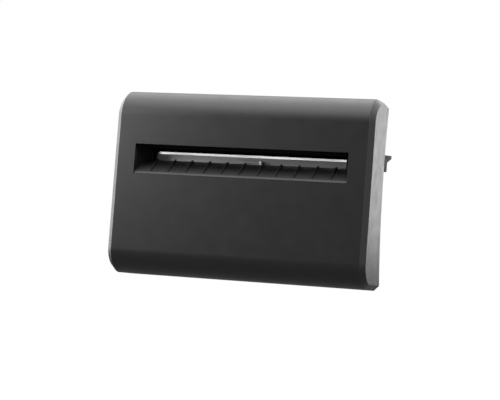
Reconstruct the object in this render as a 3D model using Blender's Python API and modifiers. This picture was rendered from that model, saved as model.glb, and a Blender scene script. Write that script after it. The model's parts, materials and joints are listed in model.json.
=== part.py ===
"""Guillotine cutter unit of a label printer, built as an assembly of separate pieces.

Sizes are in millimetres and become metres where a mesh is made. The layout frame has X to the
right, Y from the front face (0) towards the printer and Z up from the cover's lowest line (0).
The root empty puts the frame's origin at the centre of the rear mounting face.
"""
import math

import bmesh
import bpy
from mathutils import Matrix, Vector

MM = 0.001
GAP = 0.3               # between pieces that rest on each other
SLIDE = 0.3             # beside a sliding piece
RUN = 0.08              # radial, between a shaft and its hole
THROUGH = 2.0           # how far a cutter stands out of what it cuts

# ---- cover -------------------------------------------------------------------------------
COVER_WIDTH = 160.0
COVER_HEIGHT = 111.0
WALL = 2.6
END_CHAMFER = 3.1
TOP_ROUND_DEPTH = 17.0
TOP_ROUND_HEIGHT = 16.0
BOTTOM_ROUND_DEPTH = 15.0
BOTTOM_ROUND_HEIGHT = 14.5
ROUND_POWER = 1.05       # 1 is a true ellipse, and more is flatter in the middle of the corner
ROUND_STEPS = 9
REAR_EDGE_SETBACK = 3.4  # the cover's hollow rear edge comes this far in front of the rear face
REAR_EDGE_HEIGHT = 70.0
REAR_EDGE_RADIUS = 285.0
COVER_BLANK_EXTRA = 6.0
BOSS_RADIUS = 3.6
BOSS_INSET_X = 12.5     # from the side face
BOSS_LOW = 12.0         # height of the lower bosses
BOSS_DROP = 9.5         # the upper bosses' distance below the top
PILOT_RADIUS = 1.3
PILOT_DEPTH = 14.0

# ---- label slot and its chute ------------------------------------------------------------
SLOT_WIDTH = 132.3
SLOT_LOW = 59.8
SLOT_HIGH = 77.7
CHUTE_SKIN = 1.8
RAMP_DEPTH = 13.2
RAMP_RISE = 8.8
RAMP_STEPS = 8
CHUTE_DEPTH = 15.2
CHUTE_MOUTH_INSET = 5.0  # how far each side wall leans in by its rear end
ROOF_DEPTH = 4.8
ROOF_DROP = 1.3          # the roof's underside below the slot's top
LIP_RISE = 1.1
LIP_RUN = 0.9
RIB_PITCH = 11.2
RIB_WIDTH = 1.1
RIB_RISE = 0.9

# ---- blades ------------------------------------------------------------------------------
FIXED_BLADE_HALF = 60.4
FIXED_BLADE_FRONT = 20.6
FIXED_BLADE_THICK = 2.0
FIXED_BLADE_TOP = 75.4
FIXED_BLADE_TALL = 14.0
LAND_TALL = 1.6          # the ground land along the edge
LAND_PROUD = 0.3
MOVING_BLADE_HALF = 61.5
MOVING_BLADE_THICK = 1.5
MOVING_BLADE_TALL = 14.0
BLADE_GAP = 5.2          # open height between the blades at rest
VEE_DEPTH = 2.3          # the moving edge is higher in the middle than at its ends
BLADE_SCREW_X = 40.0
BEAM_SCREW_LENGTH = 9.0
CLAMP_LEFT = -5.0
CLAMP_RIGHT = 8.6
CLAMP_TALL = 2.6
CLAMP_SKIN = 0.9
STROKE = 8.2

# ---- blade carrier -----------------------------------------------------------------------
CARRIER_THICK = 1.5
CARRIER_HALF = 70.0
CARRIER_TOP = 96.4
CARRIER_FOOT = 30.0
CARRIER_WINDOW_HALF = 62.2
CROSSBAR_LOW = 63.4
CROSSBAR_HIGH = 71.4
FLAG_THICK = 1.0
FLAG_INSET = 3.2         # from the window's side to the flag
FLAG_REACH = 1.5         # towards the front
FLAG_LOW = 43.0
GUIDE_X = 66.6
GUIDE_HIGH = 84.0
GUIDE_LOW = 66.0
GUIDE_RADIUS = 2.0
GUIDE_HEAD_RADIUS = 3.2
GUIDE_HEAD_THICK = 1.5

# ---- chassis -----------------------------------------------------------------------------
REAR_FACE = 34.0         # the plane that lies against the printer
SHEET = 1.5
CHASSIS_INSET = 6.0       # inside the cover's ends
CHASSIS_LOW = 7.5
CHASSIS_TOP_INSET = 6.5
FLANGE_FRONT = 9.0
FLANGE_LOW = 36.0
FLANGE_HIGH = 86.0
ENTRY_HALF = 61.0
ENTRY_REAR_HEIGHT = 84.0  # middle of the throat at the rear face
ENTRY_SLOPE = 0.5         # it comes down towards the blades
ENTRY_TALL = 6.6
ENTRY_SKIN = 1.5
MOTOR_WINDOW_HALF = 16.0
MOTOR_WINDOW_LOW = 12.0
MOTOR_WINDOW_HIGH = 33.0
SINK_DEPTH = 1.3
SINK_RADIUS = 2.9
SCREW_RADIUS = 1.2
HOLE_RADIUS = 1.6
TAPPED_RADIUS = SCREW_RADIUS + 0.2

# ---- drive -------------------------------------------------------------------------------
RACK_MODULE = 0.8
RACK_TEETH = 9
RACK_WIDTH = 5.0
RACK_BODY = 2.0          # behind the rack's roots
RACK_INSET = 0.6         # from the carrier's edge
PINION_TEETH = 12
SHAFT_HEIGHT = 45.0
SHAFT_RADIUS = 2.0
SHAFT_PROUD = 1.6         # beyond the chassis
BUSH_RADIUS = 3.4
BUSH_LENGTH = 3.4
STAGE_ONE_MODULE = 0.5
MOTOR_PINION_TEETH = 10
IDLER_LARGE_TEETH = 36
STAGE_TWO_MODULE = 0.6
IDLER_SMALL_TEETH = 10
FINAL_GEAR_TEETH = 30
CENTRE_EASE = 0.06       # added to each gear pair's centre distance
BACKLASH = 0.16
GEAR_WIDTH = 4.0
IDLER_OFFSET = 1.4       # the idler axle lies this far behind the cross shaft
MOTOR_OFFSET = -0.6      # the motor axis, measured the same way
BRACKET_X = 21.0
BRACKET_THICK = 1.5
BRACKET_FRONT = 6.4
BRACKET_LOW = 12.0
BRACKET_HIGH = 42.0
BRACKET_FOOT = 15.0
IDLER_PIN_RADIUS = 1.5
IDLER_PIN_HEAD = 2.6
MOTOR_RADIUS = 10.0
MOTOR_LENGTH = 24.0
MOTOR_CAP = 3.0
MOTOR_NOSE_RADIUS = 3.0
MOTOR_SHAFT_RADIUS = 1.0
MOTOR_SCREW_REACH = 6.2
MOTOR_SCREW_RADIUS = 0.9
MOTOR_TAP_DEPTH = 4.0

# ---- electronics -------------------------------------------------------------------------
BOARD_LEFT = -69.0
BOARD_RIGHT = -30.0
BOARD_LOW = 17.0
BOARD_HIGH = 52.0
BOARD_THICK = 1.6
BOARD_FRONT = 28.6
SENSOR_POST = 1.6
SENSOR_SLOT = 3.0
SENSOR_TALL = 6.0
SENSOR_REACH = 6.0
SENSOR_BASE = 1.6
CONNECTOR_WIDTH = 14.0
CONNECTOR_TALL = 6.4
CONNECTOR_X = -46.0
CONNECTOR_HEIGHT = 28.0
CONNECTOR_WALL = 1.0
CONNECTOR_PINS = 6
PLUG_MARGIN = 0.6        # open all round the connector in the chassis
CONNECTOR_PIN_PITCH = 2.0
LEAD_RADIUS = 0.65

# ---- mounting hooks ----------------------------------------------------------------------
HOOK_THICK = 2.4
HOOK_FOOT_FRONT = 20.0
HOOK_OUTSET = 2.3        # its outer face steps out behind the cover's edge
HOOK_LOW = 71.0
HOOK_TOP = 80.4          # at the rear face; the arm rises towards its tip
HOOK_TIP_TOP = 81.8
HOOK_WEB_REAR = 42.0
HOOK_TIP_REAR = 52.2
HOOK_TIP_TALL = 2.3
HOOK_ROOT_TALL = 4.6      # the arm where it meets the web

# ---- worked out from the above -----------------------------------------------------------
REAR_EDGE = REAR_FACE - REAR_EDGE_SETBACK
COVER_BLANK_DEPTH = REAR_FACE + COVER_BLANK_EXTRA
CHASSIS_HALF = COVER_WIDTH / 2 - CHASSIS_INSET
CHASSIS_HIGH = COVER_HEIGHT - CHASSIS_TOP_INSET
SHAFT_HALF = CHASSIS_HALF + SHAFT_PROUD
CHUTE_HALF = SLOT_WIDTH / 2 - GAP
RIBS_EACH_SIDE = int((CHUTE_HALF - CHUTE_MOUTH_INSET - 3 * CHUTE_SKIN / 2) / RIB_PITCH)
MOVING_BLADE_FRONT = FIXED_BLADE_FRONT + FIXED_BLADE_THICK + SLIDE
CARRIER_FRONT = MOVING_BLADE_FRONT + MOVING_BLADE_THICK + GAP
CARRIER_REAR = CARRIER_FRONT + CARRIER_THICK
SHEET_FRONT = REAR_FACE - SHEET
RACK_PITCH = math.pi * RACK_MODULE
PINION_RADIUS = RACK_MODULE * PINION_TEETH / 2
RACK_REAR = CARRIER_FRONT - GAP
RACK_LINE = RACK_REAR - RACK_BODY - 1.1 * RACK_MODULE
SHAFT_DEPTH = RACK_LINE - PINION_RADIUS - CENTRE_EASE
EDGE_LOW = FIXED_BLADE_TOP + BLADE_GAP
BEAM_REAR = FIXED_BLADE_FRONT - GAP
BEAM_FRONT = CHUTE_DEPTH + 1.0
BEAM_LOW = SLOT_LOW - 0.4
BEAM_HIGH = SLOT_LOW + RAMP_RISE + 0.5
IDLER_START = BRACKET_X + BRACKET_THICK + 2.2
IDLER_SMALL_START = IDLER_START + GEAR_WIDTH


def centre_distance(module, teeth_a, teeth_b):
    return module * (teeth_a + teeth_b) / 2 + CENTRE_EASE


def below(depth, height, next_depth, distance):
    """Height of an axle at next_depth, this far from the one at (depth, height) and under it."""
    return height - math.sqrt(distance ** 2 - (next_depth - depth) ** 2)


IDLER_DEPTH = SHAFT_DEPTH + IDLER_OFFSET
IDLER_HEIGHT = below(SHAFT_DEPTH, SHAFT_HEIGHT, IDLER_DEPTH,
                     centre_distance(STAGE_TWO_MODULE, IDLER_SMALL_TEETH, FINAL_GEAR_TEETH))
MOTOR_DEPTH = SHAFT_DEPTH + MOTOR_OFFSET
MOTOR_HEIGHT = below(IDLER_DEPTH, IDLER_HEIGHT, MOTOR_DEPTH,
                     centre_distance(STAGE_ONE_MODULE, MOTOR_PINION_TEETH, IDLER_LARGE_TEETH))


# ---- scene helpers -----------------------------------------------------------------------
def clear_scene():
    for old in list(bpy.data.objects):
        bpy.data.objects.remove(old)


def new_collection(name):
    made = bpy.data.collections.new(name)
    bpy.context.scene.collection.children.link(made)
    return made


def new_material(name, colour, roughness, metallic=0.0):
    made = bpy.data.materials.new(name)
    made.use_nodes = True
    shader = made.node_tree.nodes["Principled BSDF"]
    shader.inputs["Base Color"].default_value = (*colour, 1.0)
    shader.inputs["Roughness"].default_value = roughness
    shader.inputs["Metallic"].default_value = metallic
    made.diffuse_color = (*colour, 1.0)
    return made


def new_empty(name, place, parent=None):
    made = bpy.data.objects.new(name, None)
    pieces.objects.link(made)
    made.parent = parent
    made.location = Vector(place) * MM
    return made


def new_piece(name, mesh, material, body, place=(0, 0, 0)):
    """One named node: its mesh in metres about its own origin, placed in its body's frame in mm."""
    mesh.materials.clear()
    mesh.materials.append(material)
    mesh.shade_smooth()
    mesh.set_sharp_from_angle(angle=math.radians(28))
    made = bpy.data.objects.new(name, mesh)
    pieces.objects.link(made)
    made.parent = body
    made.location = Vector(place) * MM
    return made


def helper_object(name, mesh, beside):
    """A cutter or an addition, in the frame of the piece that it works on."""
    made = bpy.data.objects.new(name, mesh)
    cutters.objects.link(made)
    made.hide_render = True
    made.display_type = "WIRE"
    made.parent = beside.parent
    made.location = beside.location
    return made


def boolean(piece, mesh, operation):
    count = len(piece.modifiers)
    helper = helper_object(f"{piece.name}_{operation.lower()}_{count}", mesh, piece)
    modifier = piece.modifiers.new(f"{operation.lower()}_{count}", "BOOLEAN")
    modifier.operation = operation
    modifier.solver = "EXACT"
    modifier.object = helper


def cut(piece, mesh):
    boolean(piece, mesh, "DIFFERENCE")


def join(piece, mesh):
    boolean(piece, mesh, "UNION")


# ---- mesh helpers: sizes in mm, meshes in metres -----------------------------------------
def mesh_of(bm, name="mesh"):
    mesh = bpy.data.meshes.new(name)
    bm.to_mesh(mesh)
    bm.free()
    return mesh


def box(x, y, z):
    """A box between the two ends given on each axis."""
    bm = bmesh.new()
    bmesh.ops.create_cube(bm, size=1.0)
    size = Vector((x[1] - x[0], y[1] - y[0], z[1] - z[0])) * MM
    centre = Vector((x[1] + x[0], y[1] + y[0], z[1] + z[0])) * MM / 2
    bmesh.ops.transform(bm, matrix=Matrix.Translation(centre) @ Matrix.Diagonal((*size, 1)),
                        verts=bm.verts)
    return mesh_of(bm)


TURN_TO = {"X": Matrix.Rotation(math.pi / 2, 4, "Y"), "Y": Matrix.Rotation(-math.pi / 2, 4, "X"),
           "Z": Matrix.Identity(4)}


def cone(axis, start_radius, end_radius, start, end, centre=(0, 0), sides=16):
    """A cone or a cylinder along an axis; centre is on the other two axes, in X, Y, Z order."""
    bm = bmesh.new()
    bmesh.ops.create_cone(bm, cap_ends=True, segments=sides, radius1=start_radius * MM,
                          radius2=end_radius * MM, depth=(end - start) * MM)
    place = list(centre)
    place.insert("XYZ".index(axis), (start + end) / 2)
    bmesh.ops.transform(bm, matrix=Matrix.Translation(Vector(place) * MM) @ TURN_TO[axis],
                        verts=bm.verts)
    return mesh_of(bm)


def rod(axis, radius, start, end, centre=(0, 0), sides=16):
    return cone(axis, radius, radius, start, end, centre, sides)


def together(*meshes):
    """Several meshes as one, for cutters and additions that don't meet."""
    bm = bmesh.new()
    for mesh in meshes:
        bm.from_mesh(mesh)
    return mesh_of(bm)


def circle(radius, centre=(0.0, 0.0), sides=16):
    return [(centre[0] + radius * math.cos(math.tau * i / sides),
             centre[1] + radius * math.sin(math.tau * i / sides)) for i in range(sides)]


def rectangle(low_u, high_u, low_v, high_v):
    return [(low_u, low_v), (high_u, low_v), (high_u, high_v), (low_u, high_v)]


def upright_slot(centre_u, low_v, high_v, radius, sides=8):
    """A slot with round ends, between the centres of its ends."""
    top = [(centre_u + radius * math.cos(math.pi * i / sides),
            high_v + radius * math.sin(math.pi * i / sides)) for i in range(sides + 1)]
    bottom = [(centre_u - radius * math.cos(math.pi * i / sides),
               low_v - radius * math.sin(math.pi * i / sides)) for i in range(sides + 1)]
    return top + bottom


OUTLINE_TURN = {"X": Matrix(((0, 0, 1, 0), (1, 0, 0, 0), (0, 1, 0, 0), (0, 0, 0, 1))),
                "Y": Matrix.Rotation(math.pi / 2, 4, "X")}


def plate(axis, start, end, *loops):
    """Flat outlines, the first with the rest as holes, extruded along X (outlines are Y, Z) or Y (X, Z)."""
    curve = bpy.data.curves.new("outline", "CURVE")
    curve.dimensions = "2D"
    curve.fill_mode = "BOTH"
    curve.extrude = (end - start) / 2 * MM
    for loop in loops:
        spline = curve.splines.new("POLY")
        spline.points.add(len(loop) - 1)
        for point, (u, v) in zip(spline.points, loop):
            point.co = (u * MM, v * MM, 0, 1)
        spline.use_cyclic_u = True
    drawn = bpy.data.objects.new("outline", curve)
    cutters.objects.link(drawn)
    bpy.context.view_layer.update()
    mesh = bpy.data.meshes.new_from_object(drawn.evaluated_get(bpy.context.evaluated_depsgraph_get()))
    bpy.data.objects.remove(drawn)
    bm = bmesh.new()
    bm.from_mesh(mesh)
    bmesh.ops.remove_doubles(bm, verts=bm.verts, dist=1e-7)
    shift = [0, 0, 0]
    shift["XYZ".index(axis)] = (start + end) / 2 * MM
    bmesh.ops.transform(bm, matrix=Matrix.Translation(shift) @ OUTLINE_TURN[axis], verts=bm.verts)
    bmesh.ops.recalc_face_normals(bm, faces=bm.faces)
    return mesh_of(bm)


# ---- gears -------------------------------------------------------------------------------
def involute_angle(radius, base):
    ratio = math.sqrt(max((radius / base) ** 2 - 1, 0.0))
    return ratio - math.atan(ratio)


def gear_outline(module, teeth, phase):
    """Points of a spur gear with a tooth centred on the angle phase. Its flanks are involutes."""
    pitch = module * teeth / 2
    base = pitch * math.cos(math.radians(20))
    tip = pitch + 0.85 * module
    root = pitch - 1.15 * module
    half = (math.pi * module - 2 * BACKLASH) / 4 / pitch + involute_angle(pitch, base)
    start = max(base, root)
    flank = [start + (tip - start) * i / 3 for i in range(4)]
    points = []
    for tooth in range(teeth):
        middle = phase + math.tau * tooth / teeth
        side = [(r, half - involute_angle(r, base)) for r in flank]
        if root < start:
            side.insert(0, (root, half))
        points += [(r, middle - a) for r, a in side] + [(r, middle + a) for r, a in reversed(side)]
    return [(r * math.cos(a), r * math.sin(a)) for r, a in points]


def gear(module, teeth, phase, start, end, bore, sides=16):
    return plate("X", start, end, gear_outline(module, teeth, phase), circle(bore, sides=sides))


def rack_outline(first_tooth, teeth):
    """A rack in Y, Z, its teeth towards the front and the lowest one at the height first_tooth."""
    tip = RACK_LINE - 0.85 * RACK_MODULE
    root = RACK_LINE + 1.1 * RACK_MODULE
    lean = math.tan(math.radians(20))
    half = RACK_PITCH / 4 - BACKLASH / 2
    points = [(RACK_REAR, first_tooth - RACK_PITCH / 2)]
    for tooth in range(teeth):
        middle = first_tooth + tooth * RACK_PITCH
        wide = half + (root - RACK_LINE) * lean
        slim = half - (RACK_LINE - tip) * lean
        points += [(root, middle - wide), (tip, middle - slim), (tip, middle + slim), (root, middle + wide)]
    points.insert(1, (root, first_tooth - RACK_PITCH / 2))
    end = first_tooth + (teeth - 0.5) * RACK_PITCH
    return points + [(root, end), (RACK_REAR, end)]


def mesh_phase(depth, height, other_depth, other_height):
    """Angle in the Y, Z plane from one axle to another."""
    return math.atan2(other_height - height, other_depth - depth)


# ---- fasteners ---------------------------------------------------------------------------
def pan_screw(axis, direction, radius, length, head_radius=2.5, head=1.7):
    """A screw whose shank starts at 0 and runs along the axis; its pan head has a hexagon socket."""
    head_ends = sorted((0.0, -direction * head))
    shank = rod(axis, radius, *sorted((-direction * head / 2, direction * length)), sides=12)
    cap = rod(axis, head_radius, *head_ends, sides=16)
    socket_ends = sorted((-direction * (head + THROUGH), -direction * head * 0.45))
    socket = rod(axis, head_radius * 0.45, *socket_ends, sides=6)
    return cap, shank, socket


def add_pan_screw(name, axis, direction, place, length, body, radius=SCREW_RADIUS, head_radius=2.5):
    cap, shank, socket = pan_screw(axis, direction, radius, length, head_radius)
    screw = new_piece(name, cap, zinc, body, place)
    join(screw, shank)
    cut(screw, socket)
    return screw


def add_sunk_screw(name, x, height, length, body):
    """A flush screw in the rear face, driven towards the front."""
    head = cone("Y", SCREW_RADIUS, SINK_RADIUS - 0.25, -SINK_DEPTH, 0.0)
    screw = new_piece(name, head, zinc, body, (x, REAR_FACE - 0.1, height))
    join(screw, rod("Y", SCREW_RADIUS, -length, -SINK_DEPTH / 2, sides=12))
    cut(screw, rod("Y", 1.1, -0.8, THROUGH, sides=6))
    return screw


def sink_cutter(x, height):
    """The hole and the countersink of a flush screw in the rear face."""
    hole = rod("Y", HOLE_RADIUS, SHEET_FRONT - THROUGH, REAR_FACE + THROUGH, (x, height))
    grow = (SINK_RADIUS - HOLE_RADIUS) / SINK_DEPTH
    sink = cone("Y", HOLE_RADIUS, SINK_RADIUS + grow * THROUGH, REAR_FACE - SINK_DEPTH,
                REAR_FACE + THROUGH, (x, height))
    return hole, sink


# ---- cover and chute ---------------------------------------------------------------------
def cover_profile(inset=0.0):
    """The cover's section in Y, Z: a flat front between two flattened oval corners, open to the rear."""
    bottom = corner_curve(BOTTOM_ROUND_DEPTH - inset, BOTTOM_ROUND_HEIGHT - inset)
    top = corner_curve(TOP_ROUND_DEPTH - inset, TOP_ROUND_HEIGHT - inset)
    points = [(COVER_BLANK_DEPTH, inset)]
    points += [(inset + back, inset + rise) for back, rise in reversed(bottom)]
    points += [(inset + back, COVER_HEIGHT - inset - rise) for back, rise in top]
    return points + [(COVER_BLANK_DEPTH, COVER_HEIGHT - inset)]


def corner_curve(depth, height):
    """A corner from the flat front to the flat top, as distances behind the front and below the top."""
    points = []
    for step in range(ROUND_STEPS + 1):
        turn = math.pi / 2 * step / ROUND_STEPS
        points.append((depth * (1 - max(0.0, math.cos(turn)) ** ROUND_POWER),
                       height * (1 - math.sin(turn) ** ROUND_POWER)))
    return points


def boss_places():
    x = COVER_WIDTH / 2 - BOSS_INSET_X
    return [(side * x, height) for height in (BOSS_LOW, COVER_HEIGHT - BOSS_DROP) for side in (-1, 1)]


def cover_surface():
    """The outer skin as an open surface, with the edges that the end chamfer replaces weighted."""
    half = COVER_WIDTH / 2
    bm = bmesh.new()
    bm.from_mesh(plate("X", -half, half, cover_profile()))
    bmesh.ops.dissolve_limit(bm, angle_limit=math.radians(1), verts=bm.verts, edges=bm.edges)
    rear = COVER_BLANK_DEPTH * MM - 1e-6
    behind = [f for f in bm.faces if all(v.co.y > rear for v in f.verts)]
    bmesh.ops.delete(bm, geom=behind, context="FACES")
    weight = bm.edges.layers.float.new("bevel_weight_edge")
    end = half * MM - 1e-6
    for edge in bm.edges:
        a, b = edge.verts
        on_end = abs(a.co.x) > end and abs(b.co.x) > end and a.co.x * b.co.x > 0
        if on_end and not (a.co.y > rear and b.co.y > rear):
            edge[weight] = 1.0
    return mesh_of(bm)


def build_cover():
    cover = new_piece("front_cover", cover_surface(), black_plastic, root)
    chamfer = cover.modifiers.new("end_chamfer", "BEVEL")
    chamfer.width = END_CHAMFER * MM
    chamfer.segments = 1
    chamfer.limit_method = "WEIGHT"
    shell = cover.modifiers.new("wall", "SOLIDIFY")
    shell.thickness = WALL * MM
    shell.offset = -1
    shell.use_even_offset = True
    bosses = [rod("Y", BOSS_RADIUS, WALL / 2, SHEET_FRONT - GAP, place) for place in boss_places()]
    join(cover, together(*bosses))
    within = helper_object("boss_limit", plate("X", -COVER_WIDTH / 2 + WALL, COVER_WIDTH / 2 - WALL,
                                               cover_profile(WALL / 2)), cover)
    trim = cover.modifiers[-1].object.modifiers.new("inside_the_wall", "BOOLEAN")
    trim.operation = "INTERSECT"
    trim.solver = "EXACT"
    trim.object = within
    rear_cylinder = rod("X", REAR_EDGE_RADIUS, -COVER_WIDTH, COVER_WIDTH,
                        (REAR_EDGE + REAR_EDGE_RADIUS, REAR_EDGE_HEIGHT), sides=180)
    cut(cover, rear_cylinder)
    half = SLOT_WIDTH / 2
    cut(cover, box((-half, half), (-THROUGH, WALL + THROUGH), (SLOT_LOW, SLOT_HIGH)))
    pilots = [rod("Y", PILOT_RADIUS + 0.1, SHEET_FRONT - PILOT_DEPTH, SHEET_FRONT + THROUGH, place, sides=12)
              for place in boss_places()]
    cut(cover, together(*pilots))


def ramp_curve(lift):
    """The top of the chute's floor in Y, Z: steep behind the lip, flatter at its crest."""
    start = (GAP + LIP_RUN, SLOT_LOW + GAP + LIP_RISE + lift)
    points = []
    for step in range(RAMP_STEPS + 1):
        turn = math.pi / 2 * step / RAMP_STEPS
        share = 0.5 * math.sin(turn) + 0.5 * step / RAMP_STEPS
        points.append((start[0] + (RAMP_DEPTH - LIP_RUN) * step / RAMP_STEPS,
                       start[1] + (RAMP_RISE - LIP_RISE + 0.5) * share))
    return points


def build_chute():
    """The floor reaches out through the slot; the side walls and the roof start behind the cover's wall."""
    top = ramp_curve(0.0)
    under = [(y, z - CHUTE_SKIN) for y, z in reversed(top[1:])]
    floor = plate("X", -CHUTE_HALF, CHUTE_HALF, [(GAP, SLOT_LOW + GAP)] + top + under)
    chute = new_piece("exit_chute", floor, chute_plastic, root)
    crest = ramp_curve(RIB_RISE)
    sunk = [(y, z - RIB_RISE - CHUTE_SKIN / 2) for y, z in reversed(crest)]
    ribs = [plate("X", i * RIB_PITCH - RIB_WIDTH / 2, i * RIB_PITCH + RIB_WIDTH / 2, crest[1:] + sunk[:-1])
            for i in range(-RIBS_EACH_SIDE, RIBS_EACH_SIDE + 1)]
    join(chute, together(*ribs))
    low = SLOT_LOW - GAP
    high = SLOT_HIGH + CHUTE_SKIN
    mouth = SLOT_WIDTH / 2
    throat = mouth - CHUTE_MOUTH_INSET
    for side in (-1, 1):
        inner = [(side * mouth, WALL + GAP), (side * throat, CHUTE_DEPTH)]
        outer = [(x + side * CHUTE_SKIN, y) for x, y in reversed(inner)]
        join(chute, side_wall(inner + outer, low, high))
    roof_half = throat + 0.7 * CHUTE_SKIN
    roof_rear = CHUTE_DEPTH - 0.2
    join(chute, box((-roof_half, roof_half), (roof_rear - ROOF_DEPTH, roof_rear),
                    (SLOT_HIGH - ROOF_DROP, high - 0.3)))


def side_wall(outline, low, high):
    """A wall that stands on a plan outline in X, Y."""
    bm = bmesh.new()
    base = [bm.verts.new((x * MM, y * MM, low * MM)) for x, y in outline]
    face = bm.faces.new(base)
    raised = bmesh.ops.extrude_face_region(bm, geom=[face])["geom"]
    lifted = [v for v in raised if isinstance(v, bmesh.types.BMVert)]
    bmesh.ops.translate(bm, verts=lifted, vec=(0, 0, (high - low) * MM))
    bmesh.ops.recalc_face_normals(bm, faces=bm.faces)
    return mesh_of(bm)


# ---- chassis -----------------------------------------------------------------------------
def build_chassis():
    outline = rectangle(-CHASSIS_HALF, CHASSIS_HALF, CHASSIS_LOW, CHASSIS_HIGH)
    half = ENTRY_HALF + ENTRY_SKIN + GAP
    tall = ENTRY_TALL / 2 + ENTRY_SKIN + GAP
    window = rectangle(-half, half, ENTRY_REAR_HEIGHT - ENTRY_SLOPE * SHEET - tall, ENTRY_REAR_HEIGHT + tall)
    motor_window = rectangle(-MOTOR_WINDOW_HALF, MOTOR_WINDOW_HALF, MOTOR_WINDOW_LOW, MOTOR_WINDOW_HIGH)
    plug_half = CONNECTOR_WIDTH / 2 + PLUG_MARGIN
    plug_tall = CONNECTOR_TALL / 2 + PLUG_MARGIN
    plug_window = rectangle(CONNECTOR_X - plug_half, CONNECTOR_X + plug_half,
                            CONNECTOR_HEIGHT - plug_tall, CONNECTOR_HEIGHT + plug_tall)
    sheet = plate("Y", SHEET_FRONT, REAR_FACE, outline, window, motor_window, plug_window)
    chassis = new_piece("chassis", sheet, zinc_sheet, root)
    for side in (-1, 1):
        inner = side * (CHASSIS_HALF - SHEET)
        ends = sorted((inner, side * CHASSIS_HALF))
        loops = [rectangle(FLANGE_FRONT, SHEET_FRONT + SHEET / 2, FLANGE_LOW, FLANGE_HIGH),
                 circle(BUSH_RADIUS + GAP, (SHAFT_DEPTH, SHAFT_HEIGHT)),
                 circle(HOLE_RADIUS, ((BEAM_FRONT + BEAM_REAR) / 2, (BEAM_LOW + BEAM_HIGH) / 2), sides=12),
                 circle(HOLE_RADIUS, hook_screw_place(), sides=12)]
        join(chassis, plate("X", *ends, *loops))
    places = boss_places() + bracket_screw_places()
    holes, sinks = zip(*[sink_cutter(x, z) for x, z in places])
    cut(chassis, together(*holes))
    cut(chassis, together(*sinks))


def build_entry_guide():
    """The plastic throat that leads the label from the printer to the blades."""
    rear = REAR_FACE - GAP
    front = CARRIER_REAR + SLIDE + 0.4
    half = ENTRY_HALF
    outer_tall = ENTRY_TALL / 2 + ENTRY_SKIN
    throat = plate("X", -half - ENTRY_SKIN, half + ENTRY_SKIN, sloping_band(front, rear, outer_tall))
    guide = new_piece("entry_guide", throat, chute_plastic, root)
    flange_rear = SHEET_FRONT - GAP
    middle = ENTRY_REAR_HEIGHT - ENTRY_SLOPE * (REAR_FACE - flange_rear)
    join(guide, box((-half - ENTRY_SKIN, half + ENTRY_SKIN), (flange_rear - 1.2, flange_rear),
                    (middle - outer_tall - 2.0, middle + outer_tall + 1.2)))
    cut(guide, plate("X", -half, half, sloping_band(front - THROUGH, rear + THROUGH, ENTRY_TALL / 2)))


def sloping_band(front, rear, half_tall):
    """The throat's section in Y, Z, between two depths."""
    low, high = (ENTRY_REAR_HEIGHT - ENTRY_SLOPE * (REAR_FACE - y) for y in (front, rear))
    return [(front, low - half_tall), (rear, high - half_tall),
            (rear, high + half_tall), (front, low + half_tall)]


# ---- blades ------------------------------------------------------------------------------
def blade_screw_places():
    return [-BLADE_SCREW_X, BLADE_SCREW_X]


def build_fixed_blade():
    rear = FIXED_BLADE_FRONT + FIXED_BLADE_THICK
    low = FIXED_BLADE_TOP - FIXED_BLADE_TALL
    face = FIXED_BLADE_FRONT + LAND_PROUD
    land = FIXED_BLADE_TOP - LAND_TALL
    section = [(face, low), (rear, low), (rear, FIXED_BLADE_TOP), (FIXED_BLADE_FRONT, FIXED_BLADE_TOP),
               (FIXED_BLADE_FRONT, land), (face, land - LAND_PROUD)]
    bar = plate("X", -FIXED_BLADE_HALF, FIXED_BLADE_HALF, section)
    blade = new_piece("fixed_blade", bar, blade_steel, root)
    height = (BEAM_LOW + BEAM_HIGH) / 2
    start = FIXED_BLADE_FRONT - THROUGH
    tapped = [rod("Y", TAPPED_RADIUS, start, rear + THROUGH, (x, height), sides=12)
              for x in blade_screw_places()]
    cut(blade, together(*tapped))


def build_beam():
    half = CHASSIS_HALF - SHEET - GAP
    bar = box((-half, half), (BEAM_FRONT, BEAM_REAR), (BEAM_LOW, BEAM_HIGH))
    beam = new_piece("blade_beam", bar, zinc_sheet, root)
    height = (BEAM_LOW + BEAM_HIGH) / 2
    holes = [rod("Y", HOLE_RADIUS, BEAM_FRONT - THROUGH, BEAM_REAR + THROUGH, (x, height), sides=12)
             for x in blade_screw_places()]
    depth = (BEAM_FRONT + BEAM_REAR) / 2
    ends = [rod("X", TAPPED_RADIUS, *sorted((side * (half - BEAM_SCREW_LENGTH), side * (half + THROUGH))),
                (depth, height), sides=12) for side in (-1, 1)]
    cut(beam, together(*holes, *ends))
    for i, x in enumerate(blade_screw_places()):
        add_pan_screw(f"fixed_blade_screw_{i + 1}", "Y", 1, (x, BEAM_FRONT - GAP, height),
                      FIXED_BLADE_FRONT + FIXED_BLADE_THICK - BEAM_FRONT, root)
    for name, side in (("left", -1), ("right", 1)):
        place = (side * (CHASSIS_HALF + GAP), depth, height)
        add_pan_screw(f"beam_screw_{name}", "X", -side, place, BEAM_SCREW_LENGTH, root)


def build_blade_clamp():
    """A small hold-down on the beam's top that keeps the middle of the fixed blade from bowing."""
    low = BEAM_HIGH + GAP
    face = FIXED_BLADE_FRONT - GAP
    front = BEAM_FRONT + 0.6
    top = low + CLAMP_TALL
    section = [(front, low), (face, low), (face, top), (face - CLAMP_SKIN, top),
               (face - CLAMP_SKIN, low + CLAMP_SKIN), (front, low + CLAMP_SKIN)]
    new_piece("blade_clamp", plate("X", CLAMP_LEFT, CLAMP_RIGHT, section), blade_steel, root)


def carrier_slots():
    reach = STROKE + 0.2
    return [upright_slot(side * GUIDE_X, height - 0.2, height + reach, GUIDE_RADIUS + 0.2)
            for height in (GUIDE_HIGH, GUIDE_LOW) for side in (-1, 1)]


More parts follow.
